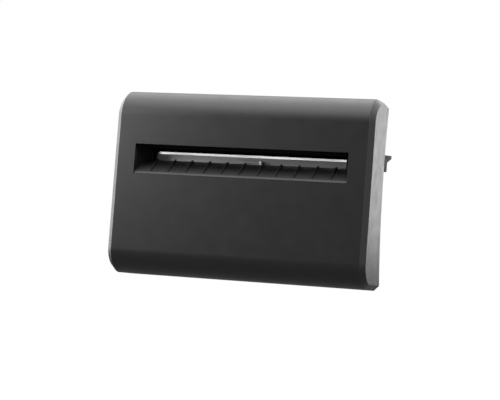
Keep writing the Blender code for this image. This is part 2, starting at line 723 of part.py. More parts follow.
def build_carriage():
    half = CARRIER_HALF
    leg = CARRIER_WINDOW_HALF
    outline = [(-half, CARRIER_FOOT), (-leg, CARRIER_FOOT), (-leg, CROSSBAR_LOW), (leg, CROSSBAR_LOW),
               (leg, CARRIER_FOOT), (half, CARRIER_FOOT), (half, CARRIER_TOP), (-half, CARRIER_TOP)]
    window = rectangle(-leg, leg, CROSSBAR_HIGH, EDGE_LOW + VEE_DEPTH + 1.2)
    screw_height = EDGE_LOW + MOVING_BLADE_TALL - 4.0
    tapped = [circle(TAPPED_RADIUS, (x, screw_height), sides=12) for x in blade_screw_places()]
    sheet = plate("Y", CARRIER_FRONT, CARRIER_REAR, outline, window, *carrier_slots(), *tapped)
    carrier = new_piece("blade_carrier", sheet, zinc_sheet, carriage)
    flag_x = -leg + FLAG_INSET
    join(carrier, box((flag_x, flag_x + FLAG_THICK), (CARRIER_FRONT - FLAG_REACH, CARRIER_REAR - 0.2),
                      (FLAG_LOW, CROSSBAR_LOW + 3.0)))

    blade_half = MOVING_BLADE_HALF
    top = EDGE_LOW + MOVING_BLADE_TALL
    edge = [(-blade_half, EDGE_LOW), (0.0, EDGE_LOW + VEE_DEPTH), (blade_half, EDGE_LOW),
            (blade_half, top), (-blade_half, top)]
    holes = [circle(HOLE_RADIUS, (x, screw_height), sides=12) for x in blade_screw_places()]
    steel = plate("Y", MOVING_BLADE_FRONT, MOVING_BLADE_FRONT + MOVING_BLADE_THICK, edge, *holes)
    new_piece("moving_blade", steel, blade_steel, carriage)
    for i, x in enumerate(blade_screw_places()):
        add_pan_screw(f"moving_blade_screw_{i + 1}", "Y", 1, (x, MOVING_BLADE_FRONT - GAP, screw_height),
                      CARRIER_REAR - MOVING_BLADE_FRONT + 0.8, carriage)

    # A tooth space of the pinion faces the rack at the shaft's height, so a rack tooth stands there.
    first = SHAFT_HEIGHT - 3 * RACK_PITCH
    for name, side in (("left", -1), ("right", 1)):
        outer = side * (CARRIER_HALF - RACK_INSET)
        ends = sorted((outer, outer - side * RACK_WIDTH))
        new_piece(f"rack_{name}", plate("X", *ends, rack_outline(first, RACK_TEETH)), gear_plastic, carriage)


def build_guides():
    for row, height in (("upper", GUIDE_HIGH), ("lower", GUIDE_LOW)):
        for name, side in (("left", -1), ("right", 1)):
            place = (side * GUIDE_X, 0.0, height)
            head_rear = CARRIER_FRONT - SLIDE
            head = rod("Y", GUIDE_HEAD_RADIUS, head_rear - GUIDE_HEAD_THICK, head_rear)
            pin = new_piece(f"guide_pin_{row}_{name}", head, polished_steel, root, place)
            join(pin, rod("Y", GUIDE_RADIUS, head_rear - GUIDE_HEAD_THICK / 2, SHEET_FRONT - GAP))
    for name, side in (("left", -1), ("right", 1)):
        build_spring(f"pressure_spring_{name}", side * GUIDE_X, CARRIER_REAR + SLIDE, SHEET_FRONT - GAP)


def build_spring(name, x, start, end):
    """A short compression spring round a guide pin, as a wire on a helix."""
    wire = 0.35
    coil = GUIDE_RADIUS + 0.3 + wire
    turns = 3.5
    steps = int(turns * 12)
    rise = end - start - 2 * wire
    curve = bpy.data.curves.new(name, "CURVE")
    curve.dimensions = "3D"
    curve.bevel_depth = wire * MM
    curve.bevel_resolution = 1
    curve.use_fill_caps = True
    spline = curve.splines.new("POLY")
    spline.points.add(steps)
    for i, point in enumerate(spline.points):
        turn = math.tau * turns * i / steps
        place = Vector((coil * math.cos(turn), start + wire + rise * i / steps, coil * math.sin(turn)))
        point.co = (*(place * MM), 1)
    made = bpy.data.objects.new(name, curve)
    pieces.objects.link(made)
    made.parent = root
    made.location = Vector((x, 0, GUIDE_HIGH)) * MM
    curve.materials.append(polished_steel)


# ---- drive -------------------------------------------------------------------------------
def build_cross_shaft():
    bar = rod("X", SHAFT_RADIUS, -SHAFT_HALF, SHAFT_HALF, sides=20)
    new_piece("cross_shaft", bar, polished_steel, shaft)
    bore = SHAFT_RADIUS + RUN
    rack_middle = CARRIER_HALF - RACK_INSET - RACK_WIDTH / 2
    half = RACK_WIDTH / 2 + 0.4
    to_rack = math.pi / PINION_TEETH
    for name, side in (("left", -1), ("right", 1)):
        middle = side * rack_middle
        pinion = gear(RACK_MODULE, PINION_TEETH, to_rack, middle - half, middle + half, bore)
        new_piece(f"pinion_{name}", pinion, gear_plastic, shaft)
        inner = side * (CHASSIS_HALF - SHEET - GAP)
        outer = inner + side * BUSH_LENGTH
        collar = inner - side * 0.9
        bush = new_piece(f"shaft_bush_{name}", rod("X", BUSH_RADIUS, *sorted((collar, outer))), brass, root,
                         (0, SHAFT_DEPTH, SHAFT_HEIGHT))
        join(bush, rod("X", BUSH_RADIUS + 1.0, *sorted((collar, inner))))
        cut(bush, rod("X", bore, *sorted((collar - side * THROUGH, outer + side * THROUGH)), sides=20))
    towards = mesh_phase(SHAFT_DEPTH, SHAFT_HEIGHT, IDLER_DEPTH, IDLER_HEIGHT)
    start = IDLER_SMALL_START + 0.3
    wheel = gear(STAGE_TWO_MODULE, FINAL_GEAR_TEETH, towards, start, start + GEAR_WIDTH, bore)
    new_piece("final_gear", wheel, gear_plastic, shaft)


def build_idler():
    up = mesh_phase(IDLER_DEPTH, IDLER_HEIGHT, SHAFT_DEPTH, SHAFT_HEIGHT)
    down = mesh_phase(IDLER_DEPTH, IDLER_HEIGHT, MOTOR_DEPTH, MOTOR_HEIGHT)
    bore = IDLER_PIN_RADIUS + RUN
    small_phase = up + math.pi / IDLER_SMALL_TEETH
    large = gear(STAGE_ONE_MODULE, IDLER_LARGE_TEETH, down, IDLER_START, IDLER_START + GEAR_WIDTH, bore)
    idler_gear = new_piece("idler_gear", large, gear_plastic, idler)
    join(idler_gear, gear(STAGE_TWO_MODULE, IDLER_SMALL_TEETH, small_phase, IDLER_SMALL_START - 0.6,
                          IDLER_SMALL_START + GEAR_WIDTH + 0.6, bore))
    pin_end = IDLER_SMALL_START + GEAR_WIDTH + 1.2
    place = (0, IDLER_DEPTH, IDLER_HEIGHT)
    bar = rod("X", IDLER_PIN_RADIUS, BRACKET_X + GAP, pin_end + 1.0)
    pin = new_piece("idler_axle", bar, polished_steel, root, place)
    join(pin, rod("X", IDLER_PIN_HEAD, BRACKET_X + BRACKET_THICK + GAP, IDLER_START - 0.4))
    clip = plate("X", pin_end, pin_end + 0.8, circle(3.0), circle(IDLER_PIN_RADIUS + 0.15))
    new_piece("idler_clip", clip, polished_steel, root, place)


def build_motor():
    place = (0, MOTOR_DEPTH, MOTOR_HEIGHT)
    face = BRACKET_X - GAP
    body = rod("X", MOTOR_RADIUS, face - MOTOR_LENGTH, face, sides=32)
    can = new_piece("motor_can", body, polished_steel, root, place)
    bore = rod("X", MOTOR_SHAFT_RADIUS + RUN, face - MOTOR_LENGTH - THROUGH, face + THROUGH, sides=12)
    cut(can, bore)
    tap_radius = MOTOR_SCREW_RADIUS + GAP
    reach = (face - MOTOR_TAP_DEPTH, face + THROUGH)
    taps = [rod("X", tap_radius, *reach, (side * MOTOR_SCREW_REACH, 0), sides=12)
            for side in (-1, 1)]
    cut(can, together(*taps))
    cap_end = face - MOTOR_LENGTH - GAP
    cap = new_piece("motor_end_cap", rod("X", MOTOR_RADIUS - 0.8, cap_end - MOTOR_CAP, cap_end, sides=32),
                    chute_plastic, root, place)
    join(cap, rod("X", 3.2, cap_end - MOTOR_CAP - 1.4, cap_end, sides=16))
    cut(cap, rod("X", MOTOR_SHAFT_RADIUS + RUN, cap_end - MOTOR_CAP - 1.0, cap_end + THROUGH, sides=12))
    rear_end = cap_end - MOTOR_CAP - 0.6
    pinion_start = IDLER_START - 0.2
    bar = rod("X", MOTOR_SHAFT_RADIUS, rear_end, pinion_start + GEAR_WIDTH + 1.4, sides=12)
    new_piece("rotor_shaft", bar, polished_steel, rotor)
    up = mesh_phase(MOTOR_DEPTH, MOTOR_HEIGHT, IDLER_DEPTH, IDLER_HEIGHT)
    pinion = gear(STAGE_ONE_MODULE, MOTOR_PINION_TEETH, up + math.pi / MOTOR_PINION_TEETH, pinion_start,
                  pinion_start + GEAR_WIDTH + 0.4, MOTOR_SHAFT_RADIUS + RUN, sides=12)
    new_piece("motor_pinion", pinion, brass, rotor)
    return place


def bracket_screw_places():
    middle = BRACKET_X + BRACKET_THICK + BRACKET_FOOT / 2
    return [(middle + 1.5, BRACKET_LOW + 4.0), (middle + 1.5, BRACKET_HIGH - 3.0)]


def build_bracket():
    """The motor's mount: an upright plate on a foot that is screwed to the chassis from behind."""
    rear = SHEET_FRONT - GAP
    front = BRACKET_FRONT
    outline = rectangle(front, rear, BRACKET_LOW, BRACKET_HIGH)
    motor_hole = circle(MOTOR_NOSE_RADIUS, (MOTOR_DEPTH, MOTOR_HEIGHT))
    pin_hole = circle(IDLER_PIN_RADIUS + 0.1, (IDLER_DEPTH, IDLER_HEIGHT))
    screws = [circle(HOLE_RADIUS, (MOTOR_DEPTH + side * MOTOR_SCREW_REACH, MOTOR_HEIGHT), sides=12)
              for side in (-1, 1)]
    sheet = plate("X", BRACKET_X, BRACKET_X + BRACKET_THICK, outline, motor_hole, pin_hole, *screws)
    bracket = new_piece("motor_bracket", sheet, zinc_sheet, root)
    foot_end = BRACKET_X + BRACKET_THICK + BRACKET_FOOT
    tapped = [circle(TAPPED_RADIUS, place, sides=12) for place in bracket_screw_places()]
    join(bracket, plate("Y", rear - BRACKET_THICK, rear,
                        rectangle(BRACKET_X + 0.2, foot_end, BRACKET_LOW, BRACKET_HIGH), *tapped))
    for i, (x, z) in enumerate(bracket_screw_places()):
        add_sunk_screw(f"bracket_screw_{i + 1}", x, z, REAR_FACE - rear + BRACKET_THICK + 1.0, root)
    for i, side in enumerate((-1, 1)):
        place = (BRACKET_X + BRACKET_THICK + GAP, MOTOR_DEPTH + side * MOTOR_SCREW_REACH, MOTOR_HEIGHT)
        add_pan_screw(f"motor_screw_{i + 1}", "X", -1, place, 4.6, root, MOTOR_SCREW_RADIUS, 1.7)


# ---- electronics -------------------------------------------------------------------------
def build_board():
    rear = BOARD_FRONT + BOARD_THICK
    outline = rectangle(BOARD_LEFT, BOARD_RIGHT, BOARD_LOW, BOARD_HIGH)
    places = [(BOARD_LEFT + 4.0, BOARD_LOW + 4.0), (BOARD_RIGHT - 4.0, BOARD_HIGH - 4.0)]
    holes = [circle(HOLE_RADIUS, place, sides=12) for place in places]
    new_piece("circuit_board", plate("Y", BOARD_FRONT, rear, outline, *holes), board_green, root)
    for i, (x, z) in enumerate(places):
        spacer = plate("Y", rear + GAP, SHEET_FRONT - GAP, circle(2.6, (x, z), sides=12),
                       circle(HOLE_RADIUS, (x, z), sides=12))
        new_piece(f"board_spacer_{i + 1}", spacer, brass, root)
        add_pan_screw(f"board_screw_{i + 1}", "Y", 1, (x, BOARD_FRONT - GAP, z),
                      SHEET_FRONT - BOARD_FRONT - GAP, root, head_radius=2.3)
    low = CONNECTOR_HEIGHT - CONNECTOR_TALL / 2
    high = CONNECTOR_HEIGHT + CONNECTOR_TALL / 2
    left = CONNECTOR_X - CONNECTOR_WIDTH / 2
    right = CONNECTOR_X + CONNECTOR_WIDTH / 2
    shell = new_piece("interface_connector", box((left, right), (rear + GAP, REAR_FACE - 0.4), (low, high)),
                      white_plastic, root)
    wall = CONNECTOR_WALL
    cut(shell, box((left + wall, right - wall), (rear + GAP + 1.2, REAR_FACE + THROUGH),
                   (low + wall, high - wall)))
    for i in range(CONNECTOR_PINS):
        x = CONNECTOR_X + (i - (CONNECTOR_PINS - 1) / 2) * CONNECTOR_PIN_PITCH
        join(shell, box((x - 0.3, x + 0.3), (rear + GAP + 0.6, REAR_FACE - 0.9),
                        (CONNECTOR_HEIGHT - 0.3, CONNECTOR_HEIGHT + 0.3)))


def build_sensor():
    """A forked light barrier. The carrier's flag fills its slot when the blade is home."""
    flag = -CARRIER_WINDOW_HALF + FLAG_INSET + FLAG_THICK / 2
    inner = SENSOR_SLOT / 2
    outer = inner + SENSOR_POST
    rear = BOARD_FRONT - GAP
    low = FLAG_LOW + 1.0
    sensor = new_piece("home_sensor", box((flag - outer, flag + outer), (rear - SENSOR_REACH, rear),
                                          (low, low + SENSOR_TALL)), chute_plastic, root)
    cut(sensor, box((flag - inner, flag + inner), (rear - SENSOR_REACH - THROUGH, rear - SENSOR_BASE),
                    (low - THROUGH, low + SENSOR_TALL + THROUGH)))


def build_lead(name, material, points):
    """A round lead along hand-chosen points, smoothed by halving its corners twice."""
    route = [Vector(p) for p in points]
    for _ in range(2):
        softer = [route[0]]
        for a, b in zip(route, route[1:]):
            softer += [a.lerp(b, 0.25), a.lerp(b, 0.75)]
        route = softer + [route[-1]]
    curve = bpy.data.curves.new(name, "CURVE")
    curve.dimensions = "3D"
    curve.bevel_depth = LEAD_RADIUS * MM
    curve.bevel_resolution = 1
    curve.use_fill_caps = True
    spline = curve.splines.new("POLY")
    spline.points.add(len(route) - 1)
    for point, place in zip(spline.points, route):
        point.co = (*(place * MM), 1)
    made = bpy.data.objects.new(name, curve)
    pieces.objects.link(made)
    made.parent = root
    curve.materials.append(material)


def build_leads():
    cap = BRACKET_X - GAP - MOTOR_LENGTH - GAP - MOTOR_CAP
    board = BOARD_FRONT - GAP
    for name, material, up, target in (("motor_lead_red", red_sleeve, 5.0, BOARD_LOW + 12.0),
                                       ("motor_lead_black", black_plastic, -5.0, BOARD_LOW + 8.0)):
        start = Vector((cap - GAP, MOTOR_DEPTH, MOTOR_HEIGHT + up))
        route = [start, start + Vector((-5, 0, 0)), (cap - 14, MOTOR_DEPTH + 3, MOTOR_HEIGHT + up),
                 (BOARD_RIGHT + 4, board - 5.5, target), (BOARD_RIGHT - 4, board - 4.5, target),
                 (BOARD_RIGHT - 6, board, target)]
        build_lead(name, material, route)


# ---- mounting hooks ----------------------------------------------------------------------
def hook_screw_place():
    return (HOOK_FOOT_FRONT + 5.0, (HOOK_LOW + HOOK_TOP) / 2)


def build_hooks():
    step = SHEET_FRONT + 1.6
    tip_low = HOOK_TIP_TOP - HOOK_TIP_TALL
    root_low = HOOK_TIP_TOP - HOOK_ROOT_TALL - 0.6
    blade = [(step, HOOK_LOW), (HOOK_WEB_REAR, HOOK_LOW), (HOOK_WEB_REAR, root_low),
             (HOOK_TIP_REAR - 1.2, tip_low), (HOOK_TIP_REAR, tip_low + 0.3), (HOOK_TIP_REAR, HOOK_TIP_TOP),
             (step, HOOK_TOP)]
    foot = rectangle(HOOK_FOOT_FRONT, HOOK_WEB_REAR - 1.0, HOOK_LOW, HOOK_TOP)
    for name, side in (("left", -1), ("right", 1)):
        inner = CHASSIS_HALF + GAP
        ends = sorted((side * inner, side * (inner + HOOK_THICK)))
        out = sorted((side * (inner + 0.5), side * (inner + HOOK_THICK + HOOK_OUTSET)))
        tapped = circle(TAPPED_RADIUS, hook_screw_place(), sides=12)
        hook = new_piece(f"mounting_hook_{name}", plate("X", *ends, foot, tapped), hook_black, root)
        join(hook, plate("X", *out, blade))
        y, z = hook_screw_place()
        add_pan_screw(f"hook_screw_{name}", "X", side, (side * (CHASSIS_HALF - SHEET - GAP), y, z),
                      SHEET + 2 * GAP + HOOK_THICK - 0.3, root, head_radius=2.2)


clear_scene()
pieces = new_collection("label_printer_cutter")
cutters = new_collection("cutters")

black_plastic = new_material("cover_plastic", (0.028, 0.028, 0.030), 0.42)
chute_plastic = new_material("inner_plastic", (0.018, 0.018, 0.019), 0.5)
hook_black = new_material("hook_black", (0.02, 0.02, 0.021), 0.45)
white_plastic = new_material("connector_plastic", (0.78, 0.77, 0.72), 0.45)
gear_plastic = new_material("gear_plastic", (0.75, 0.73, 0.66), 0.4)
blade_steel = new_material("blade_steel", (0.62, 0.63, 0.65), 0.22, 1.0)
polished_steel = new_material("polished_steel", (0.66, 0.66, 0.67), 0.25, 1.0)
zinc_sheet = new_material("zinc_sheet", (0.55, 0.57, 0.58), 0.4, 1.0)
zinc = new_material("zinc_screw", (0.5, 0.5, 0.52), 0.3, 1.0)
brass = new_material("brass", (0.72, 0.55, 0.28), 0.3, 1.0)
board_green = new_material("board_green", (0.02, 0.14, 0.06), 0.4)
red_sleeve = new_material("red_sleeve", (0.5, 0.02, 0.02), 0.4)

root = new_empty("frame", (0, -REAR_FACE, -COVER_HEIGHT / 2))
carriage = new_empty("carriage", (0, 0, 0), root)
shaft = new_empty("shaft_axis", (0, SHAFT_DEPTH, SHAFT_HEIGHT), root)
idler = new_empty("idler_axis", (0, IDLER_DEPTH, IDLER_HEIGHT), root)
rotor = new_empty("motor_axis", (0, MOTOR_DEPTH, MOTOR_HEIGHT), root)

build_cover()
build_chute()
build_chassis()
build_entry_guide()
build_beam()
build_fixed_blade()
build_blade_clamp()
build_carriage()
build_guides()
build_cross_shaft()
build_idler()
build_motor()
build_bracket()
build_board()
build_sensor()
build_leads()
build_hooks()
for number, (boss_x, boss_height) in enumerate(boss_places()):
    add_sunk_screw(f"cover_screw_{number + 1}", boss_x, boss_height, 11.0, root)
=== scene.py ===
"""Studio view of a label printer's cutter unit: a black moulded cover over steel blades and a gear drive.

Sizes are in millimetres in the layout frame: X to the right, Y from the front face (0) towards the
printer, Z up from the cover's lowest line (0). row() turns them into metres in the row frame.
"""
import json
import math

import bmesh
import bpy
from mathutils import Matrix, Vector


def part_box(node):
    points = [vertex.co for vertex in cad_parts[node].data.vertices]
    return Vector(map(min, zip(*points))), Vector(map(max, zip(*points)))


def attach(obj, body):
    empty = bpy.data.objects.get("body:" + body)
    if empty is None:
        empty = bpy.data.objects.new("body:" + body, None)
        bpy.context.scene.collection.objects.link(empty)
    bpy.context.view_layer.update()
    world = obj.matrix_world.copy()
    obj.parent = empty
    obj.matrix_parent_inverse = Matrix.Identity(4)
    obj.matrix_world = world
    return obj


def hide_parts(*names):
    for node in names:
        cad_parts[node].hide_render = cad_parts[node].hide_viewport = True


MM = 0.001
TOLERANCE = 1e-6         # metres
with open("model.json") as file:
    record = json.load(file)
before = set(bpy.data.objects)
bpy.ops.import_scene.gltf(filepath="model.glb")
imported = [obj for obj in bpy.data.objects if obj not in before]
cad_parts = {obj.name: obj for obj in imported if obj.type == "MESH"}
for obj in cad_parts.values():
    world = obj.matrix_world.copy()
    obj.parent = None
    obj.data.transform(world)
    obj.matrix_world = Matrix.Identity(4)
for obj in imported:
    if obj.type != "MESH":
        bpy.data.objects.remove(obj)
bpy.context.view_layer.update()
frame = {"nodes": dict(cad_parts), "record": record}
nodes = frame["nodes"]

# ---- sizes, tied to the CAD boxes where a piece stands for a CAD node ----------------------
COVER_LOW, COVER_TOP = (Vector(corner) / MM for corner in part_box("front_cover"))
FRONT = COVER_LOW.y
BASE = COVER_LOW.z
COVER_WIDTH = COVER_TOP.x - COVER_LOW.x
COVER_HEIGHT = COVER_TOP.z - COVER_LOW.z
WALL = 2.6
CUT_MARGIN = 2.0         # a cutter reaches this far past what it cuts
END_CHAMFER = 3.1
TOP_ROUND_DEPTH = 17.0
TOP_ROUND_HEIGHT = 16.0
BOTTOM_ROUND_DEPTH = 15.0
BOTTOM_ROUND_HEIGHT = 14.5
ROUND_POWER = 1.05       # 1 is a true ellipse, and more is flatter in the middle of the corner
ROUND_STEPS = 30
REAR_EDGE = 30.6
REAR_EDGE_HEIGHT = 70.0
REAR_EDGE_RADIUS = 285.0
REAR_EDGE_SIDES = 360
BLANK_DEPTH = 40.0
EDGE_BREAK = 0.7
LAND_TALL = 1.6
LAND_PROUD = 0.3
LAND_SEAM = 0.02
SLOT_WIDTH = 132.3
SLOT_LOW = 59.8
SLOT_HIGH = 77.7
BOSS_RADIUS = 3.6
BOSS_INSET_X = 12.5
BOSS_LOW = 12.0
BOSS_DROP = 9.5
BOSS_END = 32.2
PILOT_RADIUS = 1.4
PILOT_DEPTH = 14.0

GAP = 0.3
FIT = 0.08               # the chute's lip stands this close to the slot's edges
LIP_RISE = 1.1
LIP_RUN = 0.9
RAMP_DEPTH = 13.2
RAMP_RISE = 8.8
RAMP_STEPS = 28
RAMP_CREST = 0.5         # how far the ramp ends above its nominal rise
RAMP_BEND = 0.5          # the share of the climb that follows a sine, the rest being straight
UNDERSIDE_START = 4      # the floor's underside starts this many steps behind the lip
CHUTE_SKIN = 1.8
# The three values below place painted light on the chute floor: a painted highlight along the lip that fades
# out between the first two, then painted shade that darkens the floor between the last two.
PAINTED_HIGHLIGHT_FADE_START = 0.8
PAINTED_SHADE_START = 1.3
PAINTED_SHADE_END = 8.0
CHUTE_DEPTH = 15.2
CHUTE_MOUTH_INSET = 5.0
ROOF_DEPTH = 4.8
ROOF_DROP = 1.3
ROOF_OVERLAP = 0.7       # as a share of the wall's thickness
ROOF_INSET = 0.2
RIB_PITCH = 11.2
RIBS_EACH_SIDE = 5
RIB_WIDTH = 1.1
RIB_RISE = 0.9
RIB_SINK = 0.6
CLAMP_SKIN = 0.9
CLAMP_TAB = 1.5
CLAMP_FOLD_GAP = 0.1
CHUTE_EDGE = 0.2
RIB_EDGE = 0.3
BODY_EDGE = 0.08
LAND_EDGE = 0.1
CLAMP_EDGE = 0.25
MOVING_BLADE_EDGE = 0.06
MOULDING_EDGE = 0.3
FITTING_EDGE = 0.12
WELD_DISTANCE = 0.01

# ---- light ---------------------------------------------------------------------------------
SKY_BELOW = 0.31
SKY_ABOVE = 0.12
HORIZON_START = -0.15
HORIZON_END = 0.08
SKY_LOBES = (            # direction, where it fades in, where it is full, strength
    ((0.0, 0.0, 1.0), 0.37, 0.9, 3.5),
    ((-0.945, 0.326, 0.1), 0.75, 0.95, 4.2),
    ((-0.33, 0.94, 0.25), 0.5, 0.95, 0.4),
    ((0.945, -0.326, 0.07), 0.7, 0.95, 1.1),
)
SOFT_BOXES = (           # name, place and aim in metres, size, power in watts
    ("key", (-0.32, -0.26, 0.12), (0.0, 0.0, 0.0), (0.2, 0.2), 1.21),
    ("front", (-0.3135, -0.94, 0.1055), (0.0, -0.02, 0.019), (0.36, 0.07), 0.115),
    ("rear", (0.21, 0.39, 0.14), (0.08, 0.0, 0.02), (0.26, 0.33), 0.78),
)
FLOOR_HALF = 3.0         # metres, as are the two below
FLOOR_DROP = 0.3
NEAREST_SEEN = 0.01

# ---- camera --------------------------------------------------------------------------------
CAMERA_AZIMUTH = 19.0
CAMERA_ELEVATION = -3.84
CAMERA_ROLL = 4.29
CAMERA_DISTANCE = 900.0
CAMERA_LENS = 109.26
SENSOR_WIDTH = 36.0
CAMERA_TARGET = (0.0, 12.0, 54.0)
AIM_RIGHT = 4.06
AIM_DOWN = 6.11


def row(x, y, z):
    """A layout point in millimetres as a point of the row frame in metres."""
    return Vector((x, y + FRONT, z + BASE)) * MM


# ---- materials -----------------------------------------------------------------------------
def combined(tree, operation, first, second):
    made = tree.nodes.new("ShaderNodeMath")
    made.operation = operation
    tree.links.new(first, made.inputs[0])
    tree.links.new(second, made.inputs[1])
    return made.outputs["Value"]


def start_material(name, colour, roughness, metallic=0.0):
    """A new material, its node tree, its shader and the object's coordinates."""
    made = bpy.data.materials.new(name)
    made.use_nodes = True
    tree = made.node_tree
    shader = tree.nodes["Principled BSDF"]
    shader.inputs["Base Color"].default_value = (*colour, 1.0)
    shader.inputs["Roughness"].default_value = roughness
    shader.inputs["Metallic"].default_value = metallic
    place = tree.nodes.new("ShaderNodeTexCoord")
    return made, tree, shader, place.outputs["Object"]


def stretched(tree, place, scale):
    """The object's coordinates, scaled by axis."""
    mapping = tree.nodes.new("ShaderNodeMapping")
    mapping.inputs["Scale"].default_value = scale
    tree.links.new(place, mapping.inputs["Vector"])
    return mapping.outputs["Vector"]


def noise(tree, vector, scale, detail=3.0, rough=0.55):
    made = tree.nodes.new("ShaderNodeTexNoise")
    made.inputs["Scale"].default_value = scale
    made.inputs["Detail"].default_value = detail
    made.inputs["Roughness"].default_value = rough
    tree.links.new(vector, made.inputs["Vector"])
    return made.outputs["Fac"]


def ranged(tree, value, low, high, start=0.3, end=0.7):
    made = tree.nodes.new("ShaderNodeMapRange")
    made.inputs["From Min"].default_value = start
    made.inputs["From Max"].default_value = end
    made.inputs["To Min"].default_value = low
    made.inputs["To Max"].default_value = high
    tree.links.new(value, made.inputs["Value"])
    return made.outputs["Result"]


def mixed(tree, factor, first, second):
    """Two colours, mixed by a factor."""
    made = tree.nodes.new("ShaderNodeMix")
    made.data_type = "RGBA"
    made.inputs["A"].default_value = (*first, 1.0)
    made.inputs["B"].default_value = (*second, 1.0)
    tree.links.new(factor, made.inputs["Factor"])
    return made.outputs["Result"]


def bumped(tree, shader, height, strength, distance):
    """Feeds a height into the shader's normal."""
    made = tree.nodes.new("ShaderNodeBump")
    made.inputs["Strength"].default_value = strength
    made.inputs["Distance"].default_value = distance
    tree.links.new(height, made.inputs["Height"])
    tree.links.new(made.outputs["Normal"], shader.inputs["Normal"])


def moulded_plastic(name, colour, roughness, grain=2600.0, depth=0.00004, spread=0.05, shine=0.5):
    """Fine spark-eroded grain, slight flow variation in the colour and uneven gloss."""
    made, tree, shader, place = start_material(name, colour, roughness)
    shader.inputs["Specular IOR Level"].default_value = shine
    flow = noise(tree, place, 45.0, 4.0)
    lighter = tuple(min(1.0, c * 1.12) for c in colour)
    darker = tuple(c * 0.9 for c in colour)
    tree.links.new(mixed(tree, ranged(tree, flow, 0.0, 1.0), darker, lighter), shader.inputs["Base Color"])
    patches = noise(tree, place, 140.0, 3.0)
    tree.links.new(ranged(tree, patches, roughness - spread, roughness + spread), shader.inputs["Roughness"])
    bumped(tree, shader, noise(tree, place, grain, 2.0, 0.6), 0.35, depth)
    return made


def chute_plastic_painted_light(name, painted_highlight_colour, painted_lit_colour, painted_shade_colour, roughness):
    """Moulded plastic with a painted highlight along the front edge and painted shade that darkens it further
    in.
    """
    made = moulded_plastic(name, painted_shade_colour, roughness, 3200.0, shine=0.3)
    tree = made.node_tree
    shader = tree.nodes["Principled BSDF"]
    place = tree.nodes.new("ShaderNodeTexCoord").outputs["Object"]
    parts = tree.nodes.new("ShaderNodeSeparateXYZ")
    tree.links.new(place, parts.inputs["Vector"])
    # painted shade: the colour darkens from the lit colour at the lip to the shade colour further in
    depth = ranged(tree, parts.outputs["Y"], 0.0, 1.0, (FRONT + PAINTED_SHADE_START) * MM, (FRONT + PAINTED_SHADE_END) * MM)
    wander = ranged(tree, noise(tree, place, 160.0, 3.0), -0.12, 0.12)
    inward = combined(tree, "ADD", depth, wander)
    # painted highlight: the front edge takes the pale colour
    edge = tree.nodes.new("ShaderNodeMix")
    edge.data_type = "RGBA"
    edge.inputs["A"].default_value = (*painted_highlight_colour, 1.0)
    behind = ranged(tree, parts.outputs["Y"], 0.0, 1.0, (FRONT + PAINTED_HIGHLIGHT_FADE_START) * MM, (FRONT + PAINTED_SHADE_START) * MM)
    tree.links.new(behind, edge.inputs["Factor"])
    tree.links.new(mixed(tree, inward, painted_lit_colour, painted_shade_colour), edge.inputs["B"])
    tree.links.new(edge.outputs["Result"], shader.inputs["Base Color"])
    return made


def ground_steel(name, colour, roughness, grain=(60.0, 4000.0, 4000.0), depth=0.00001):
    """Steel with fine grinding marks that run along one axis."""
    made, tree, shader, place = start_material(name, colour, roughness, 1.0)
    marks = noise(tree, stretched(tree, place, grain), 1.0, 4.0, 0.65)
    darker = tuple(c * 0.78 for c in colour)
    tree.links.new(mixed(tree, ranged(tree, marks, 0.0, 1.0), darker, colour), shader.inputs["Base Color"])
    tree.links.new(ranged(tree, marks, roughness + 0.1, roughness - 0.06), shader.inputs["Roughness"])
    bumped(tree, shader, marks, 0.3, depth)
    return made


def plated_sheet(name, colour, roughness):
    """Zinc-plated sheet: faint spangles, uneven dullness and light handling marks."""
    made, tree, shader, place = start_material(name, colour, roughness, 1.0)
    cells = tree.nodes.new("ShaderNodeTexVoronoi")
    cells.inputs["Scale"].default_value = 190.0
    tree.links.new(place, cells.inputs["Vector"])
    stain = noise(tree, place, 35.0, 5.0, 0.6)
    darker = tuple(c * 0.88 for c in colour)
    tree.links.new(mixed(tree, ranged(tree, stain, 0.0, 1.0), darker, colour), shader.inputs["Base Color"])
    tree.links.new(ranged(tree, cells.outputs["Distance"], roughness - 0.06, roughness + 0.1, 0.0, 0.9),
                   shader.inputs["Roughness"])
    scratches = noise(tree, stretched(tree, place, (900.0, 900.0, 40.0)), 1.0, 3.0, 0.7)
    bumped(tree, shader, scratches, 0.25, 0.00001)
    return made


def turned_metal(name, colour, roughness):
    """Bright turned or drawn metal with fine rings and a light stain."""
    made, tree, shader, place = start_material(name, colour, roughness, 1.0)
    rings = noise(tree, stretched(tree, place, (3500.0, 500.0, 500.0)), 1.0, 2.0, 0.5)
    stain = noise(tree, place, 220.0, 4.0, 0.6)
    darker = tuple(c * 0.75 for c in colour)
    tree.links.new(mixed(tree, ranged(tree, stain, 0.0, 1.0), darker, colour), shader.inputs["Base Color"])
    tree.links.new(ranged(tree, rings, roughness - 0.05, roughness + 0.12), shader.inputs["Roughness"])
    bumped(tree, shader, rings, 0.2, 0.000008)
    return made


def board_material():
    """Green solder mask over copper tracks that run along the board."""
    made, tree, shader, place = start_material("solder_mask", (0.02, 0.14, 0.06), 0.32)
    bricks = tree.nodes.new("ShaderNodeTexBrick")
    bricks.inputs["Scale"].default_value = 260.0
    bricks.inputs["Mortar Size"].default_value = 0.06
    bricks.inputs["Color1"].default_value = (0.018, 0.13, 0.055, 1.0)
    bricks.inputs["Color2"].default_value = (0.022, 0.15, 0.065, 1.0)
    bricks.inputs["Mortar"].default_value = (0.05, 0.26, 0.11, 1.0)
    turned = tree.nodes.new("ShaderNodeMapping")
    turned.inputs["Rotation"].default_value = (math.pi / 2, 0.0, 0.0)
    tree.links.new(place, turned.inputs["Vector"])
    tree.links.new(turned.outputs["Vector"], bricks.inputs["Vector"])
    tree.links.new(bricks.outputs["Color"], shader.inputs["Base Color"])
    bumped(tree, shader, bricks.outputs["Fac"], 0.3, 0.00002)
    tree.links.new(ranged(tree, noise(tree, place, 300.0), 0.26, 0.4), shader.inputs["Roughness"])
    return made


